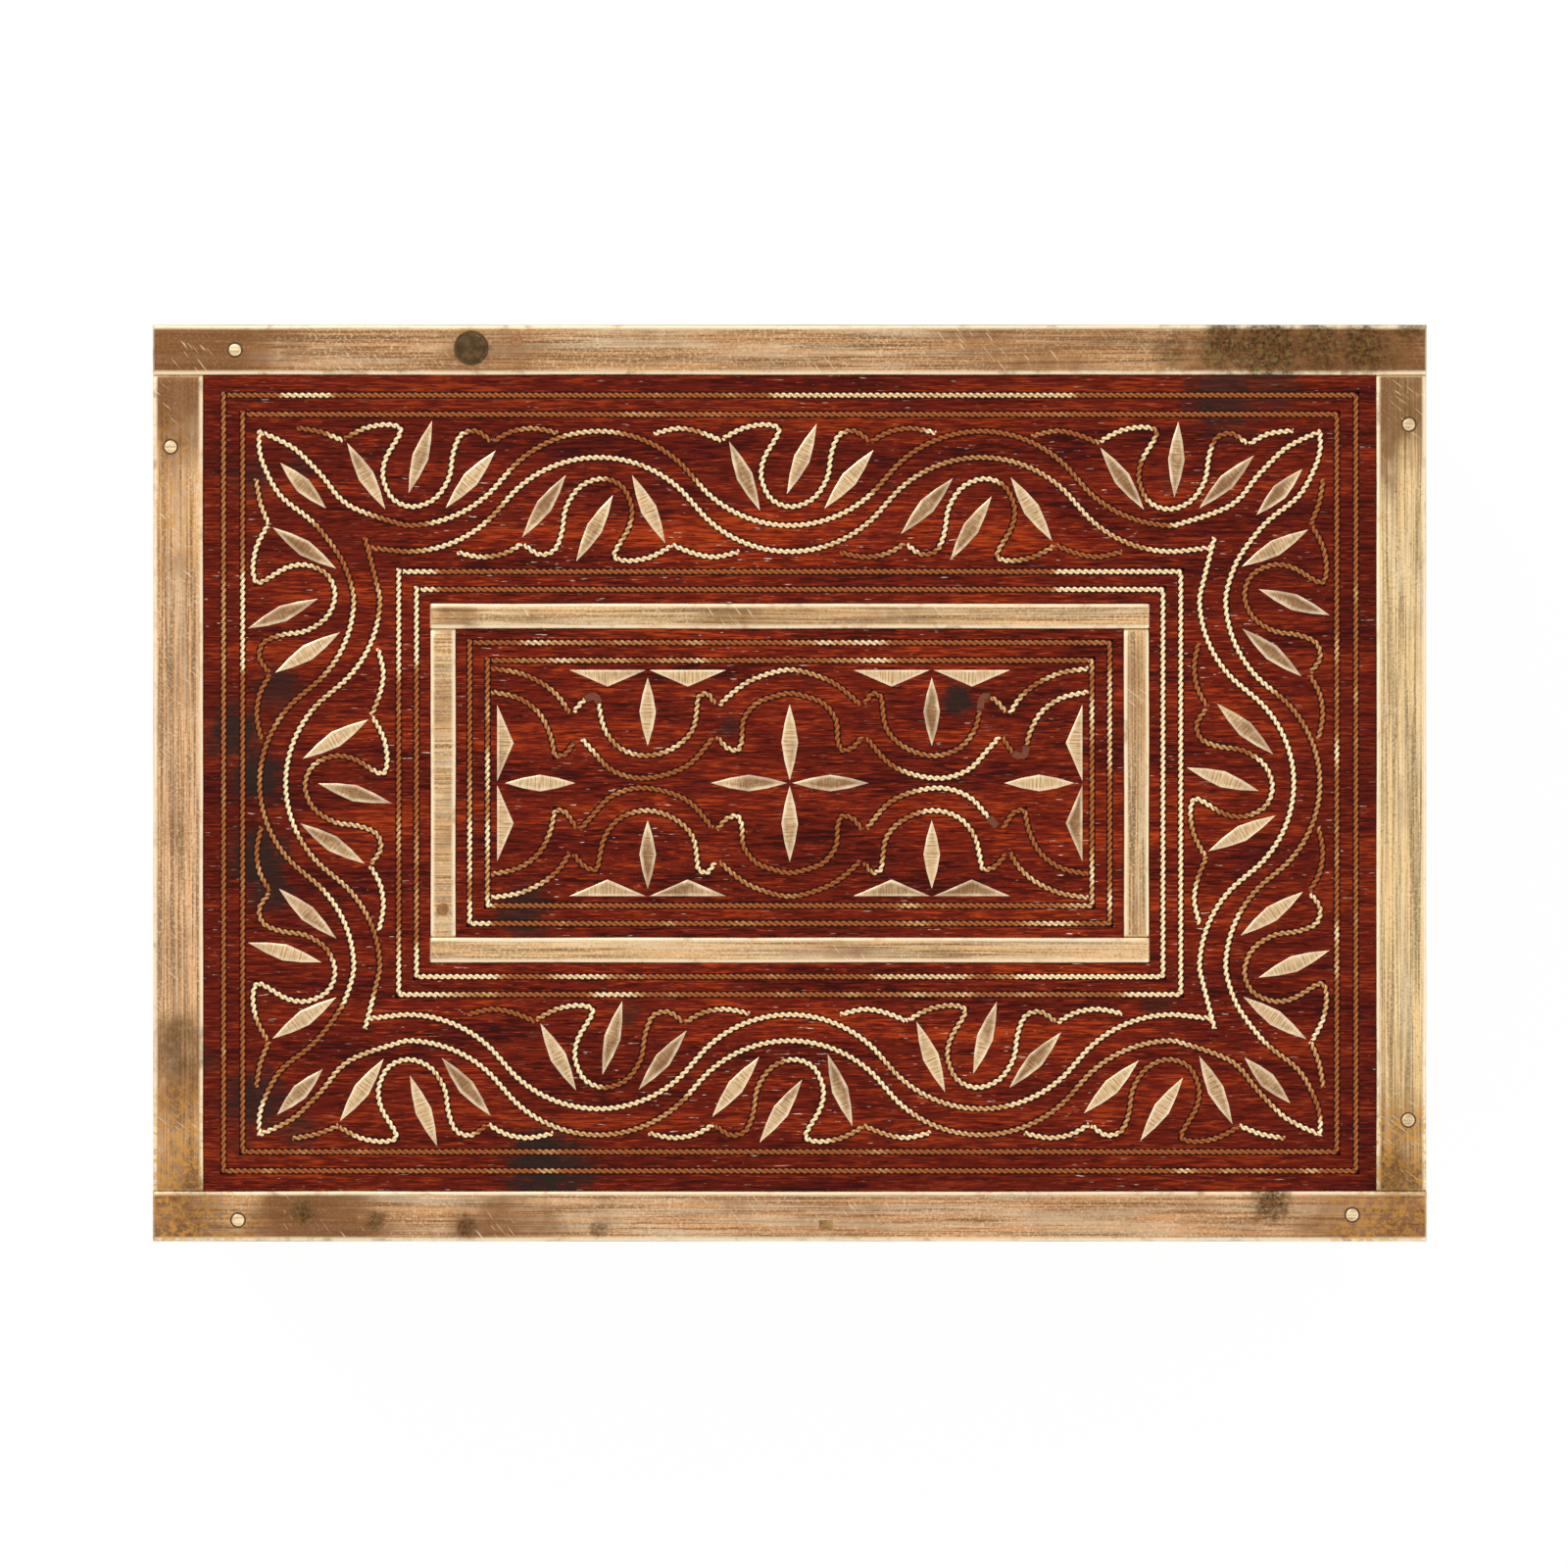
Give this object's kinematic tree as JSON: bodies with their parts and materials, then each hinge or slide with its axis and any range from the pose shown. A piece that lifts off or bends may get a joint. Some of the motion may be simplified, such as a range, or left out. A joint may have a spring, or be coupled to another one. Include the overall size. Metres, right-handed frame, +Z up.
{
  "type": "inlaid wooden box",
  "caption": "Low rectangular hardwood box with a hinged lid, bound with flat brass strips and inlaid with twisted brass wire scrolls and brass lozenges.",
  "frame": {"origin": "middle of the underside", "axes": "+X to the right along the long side, +Y to the back towards the hinges, +Z up"},
  "size_m": [0.2008, 0.1448, 0.0824],
  "materials": {
    "wood": "oiled and waxed red-brown hardwood with fine straight grain and open pores",
    "brass_strip": "brushed along its length, dull and tarnished brown at the ends",
    "twisted_wire": "two-strand twist, polished cream-gold in stretches and tarnished brown in others",
    "brass_sheet": "pale gold, cross-brushed, unevenly tarnished",
    "brass_pins": "worn, with a bright rim",
    "brass_fittings": "dull, hand-filed",
    "iron": "dark forged iron, lightly rusted",
    "dark_plug": "nearly black, matte"
  },
  "bodies": {
    "case": {"front_board": "wood", "back_board": "wood", "left_board": "wood", "right_board": "wood", "bottom_board": "wood", "bottom_nails": "iron", "front_rails": "brass_strip", "back_rails": "brass_strip", "left_rails": "brass_strip", "right_rails": "brass_strip", "front_posts": "brass_strip", "back_posts": "brass_strip", "left_posts": "brass_strip", "right_posts": "brass_strip", "front_ropes": "twisted_wire", "back_ropes": "twisted_wire", "left_ropes": "twisted_wire", "right_ropes": "twisted_wire", "case_strip_pins": "brass_pins", "left_hinge_case_leaf": "brass_fittings", "left_hinge_pin": "iron", "right_hinge_case_leaf": "brass_fittings", "right_hinge_pin": "iron", "case_leaf_screws": "brass_fittings", "lock_case": "brass_fittings", "keyhole_plate": "brass_strip"},
    "lid": {"lid_panel": "wood", "lid_strip_front": "brass_strip", "lid_strip_back": "brass_strip", "lid_strip_left": "brass_strip", "lid_strip_right": "brass_strip", "frame_strip_front": "brass_strip", "frame_strip_back": "brass_strip", "frame_strip_left": "brass_strip", "frame_strip_right": "brass_strip", "lid_edge_ropes": "twisted_wire", "frame_ropes_outside": "twisted_wire", "frame_ropes_inside": "twisted_wire", "vine_outer_wire": "twisted_wire", "vine_inner_wire": "twisted_wire", "palmette_wires": "twisted_wire", "vine_lozenges": "brass_sheet", "scroll_wires": "twisted_wire", "field_lozenges": "brass_sheet", "field_half_lozenges": "brass_sheet", "lid_strip_pins": "brass_pins", "lid_plug": "dark_plug", "left_hinge_lid_leaf": "brass_fittings", "right_hinge_lid_leaf": "brass_fittings", "lid_leaf_screws": "brass_fittings", "lid_staple": "brass_fittings"},
    "lock_bolt": {"lock_bolt": "iron"}
  },
  "joints": [
    {"name": "lid_hinge", "type": "hinge", "parent": "case", "child": "lid", "pos_m": [0, 0.06955, 0.07085], "axis": [-1, 0, 0], "range_deg": [0, 104]},
    {"name": "lock_bolt_slide", "type": "slide", "parent": "case", "child": "lock_bolt", "axis": [1, 0, 0], "range_m": [0, 0.004]}
  ]
}
